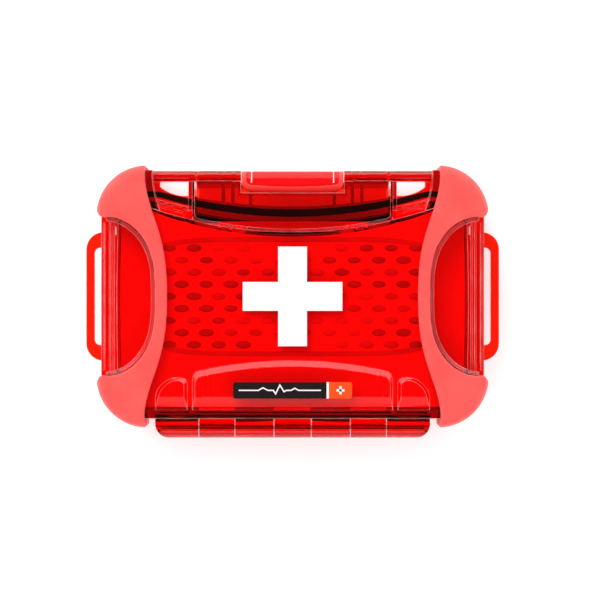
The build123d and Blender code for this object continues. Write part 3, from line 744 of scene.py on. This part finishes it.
def cross_and_label():
    """Printed white cross, and the label with its generic marks."""
    white = printed_vinyl("white_print", rgb(228, 217, 218), rgb(214, 206, 206))
    black = printed_vinyl("black_print", rgb(20, 12, 14), rgb(34, 26, 28), 0.5)
    orange = printed_vinyl("orange_print", rgb(243, 70, 18), rgb(222, 84, 40))
    for node, material in (("cross_decal", white), ("label_divider", white),
                           ("label_plate", black), ("label_end", orange)):
        paint(node, material)
        crisp_edges(node, PIN_CURVE_ANGLE)
    label_marks(white)


def bandages():
    """Gauze and crepe bandages, each wound on itself."""
    gauze = weave("gauze_cloth", rgb(244, 243, 238), rgb(196, 196, 188), 0.9, 0.00012)
    crepe = weave("crepe_cloth", rgb(222, 186, 148), rgb(176, 138, 102), 0.7, 0.00016,
                  crinkle=0.8)
    for name, node, core, layer, thick, cloth in (
        ("gauze_bandage", "bandage_roll", 1.7 * MM, 0.78 * MM, 0.55 * MM, gauze),
        ("crepe_bandage", "stretch_bandage", 1.5 * MM, 1.15 * MM, 0.95 * MM, crepe),
    ):
        roll = spiral_roll(name, node, core, layer, thick, cloth)
        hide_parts(node)


def tape():
    """Roll of tape on its plastic spool."""
    low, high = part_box("tape_roll")
    tape_roll(wound_tape("medical_tape_cloth", (low + high) / 2))
    paint("tape_spool", printed_vinyl("spool_plastic", rgb(238, 238, 236), rgb(214, 214, 212)))
    crisp_edges("tape_spool", PIN_CURVE_ANGLE)


def packets():
    """Sachets of wipes, packets of plasters and packed gauze pads."""
    packet_pile("wipe_sachets", 4, packet_film(
        "wipe_film", rgb(196, 220, 238), rgb(44, 110, 176), rgb(250, 250, 250), 0.35), 0.05)
    packet_pile("plaster_packets", 5, packet_film(
        "plaster_paper", rgb(246, 244, 238), rgb(214, 60, 54), rgb(214, 60, 54), 0.6), 0.02)
    packet_pile("gauze_pads", 3, packet_film(
        "pad_paper", rgb(247, 247, 244), rgb(66, 150, 120), rgb(66, 150, 120), 0.6, 0.1), 0.03)


# ------------------------------------------------------------------ stage, light and camera
def area_light(name, place, aim, size_x, size_y, watts):
    """Soft light that does not show in reflections."""
    data = bpy.data.lights.new(name, "AREA")
    data.shape = "RECTANGLE"
    data.size, data.size_y = size_x, size_y
    data.energy = watts
    obj = bpy.data.objects.new(name, data)
    obj.location = place
    obj.rotation_euler = (Vector(aim) - Vector(place)).to_track_quat("-Z", "Y").to_euler()
    obj.visible_glossy = False
    bpy.context.scene.collection.objects.link(obj)
    return obj


def stage():
    """Pale floor, two soft lights and the white room."""
    low, high = CAD_BOX
    half = 6.0
    floor = piece_from(
        "floor", [(-half, -half, 0), (half, -half, 0), (half, half, 0), (-half, half, 0)],
        [(0, 1, 2, 3)], "base", studio_floor("floor_paper"),
    )
    floor.parent = None
    floor.location.z = low.z - 0.0002
    aim = (0, 0, high.z / 2)
    area_light("key_soft", (0.45, -0.75, 0.95), aim, 0.9, 0.7, 11.0)
    area_light("back_soft", (-0.3, 0.9, 0.9), aim, 0.9, 0.7, 4.0)
    studio_world()


def studio_world():
    """White room with a dark ceiling and a bright box towards the latch.

    Only mirror-like and see-through faces pick those two up; everything else is lit white.
    """
    world = bpy.data.worlds.new("studio")
    bpy.context.scene.world = world
    world.use_nodes = True
    tree = world.node_tree

    def node(kind, **settings):
        made = tree.nodes.new(kind)
        for key, value in settings.items():
            setattr(made, key, value)
        return made

    def math_node(operation, a, b):
        made = node("ShaderNodeMath", operation=operation)
        for socket, value in zip(made.inputs, (a, b)):
            if isinstance(value, bpy.types.NodeSocket):
                tree.links.new(value, socket)
            else:
                socket.default_value = value
        return made.outputs[0]

    def smooth_step(value, start, end, low, high):
        made = node("ShaderNodeMapRange", interpolation_type="SMOOTHSTEP")
        tree.links.new(value, made.inputs[0])
        for socket, number in zip(made.inputs[1:5], (start, end, low, high)):
            socket.default_value = number
        return made.outputs[0]

    split = node("ShaderNodeSeparateXYZ")
    tree.links.new(node("ShaderNodeTexCoord").outputs["Generated"], split.inputs[0])
    upward = split.outputs[2]
    to_latch = math_node("MULTIPLY", split.outputs[1], -1.0)
    ceiling = smooth_step(upward, *CEILING_RISE, 1.0, CEILING_LEVEL)
    box = smooth_step(to_latch, *BOX_RISE, 1.0, BOX_LEVEL)
    path = node("ShaderNodeLightPath").outputs
    sharp = math_node("MAXIMUM", path["Is Glossy Ray"], path["Is Transmission Ray"])
    pick = node("ShaderNodeMix", data_type="FLOAT")
    pick.inputs[2].default_value = 1.0
    tree.links.new(sharp, pick.inputs[0])
    tree.links.new(math_node("MULTIPLY", ceiling, box), pick.inputs[3])
    background = tree.nodes["Background"]
    background.inputs["Strength"].default_value = WORLD_STRENGTH
    tree.links.new(pick.outputs[0], background.inputs["Color"])


def camera():
    """Straight down on to the lid, with the latch at the top of the picture."""
    data = bpy.data.cameras.new("camera")
    data.sensor_width = SENSOR
    data.lens = LENS
    obj = bpy.data.objects.new("camera", data)
    bpy.context.scene.collection.objects.link(obj)
    look_at = Vector((-3.2 * MM, -0.9 * MM, 0.036))
    obj.location = look_at + Vector((0, 0, FRAME_WIDTH * LENS / SENSOR))
    obj.rotation_euler = (0, 0, math.pi)
    data.clip_end = 20.0
    bpy.context.scene.camera = obj


case_materials()
soft_skins()
nub_field()
cross_and_label()
bandages()
tape()
packets()
stage()
camera()
scene = bpy.context.scene
scene.view_settings.view_transform = "Standard"
scene.cycles.max_bounces = 24
scene.cycles.transmission_bounces = 24
scene.cycles.transparent_max_bounces = 48
scene.cycles.glossy_bounces = 8
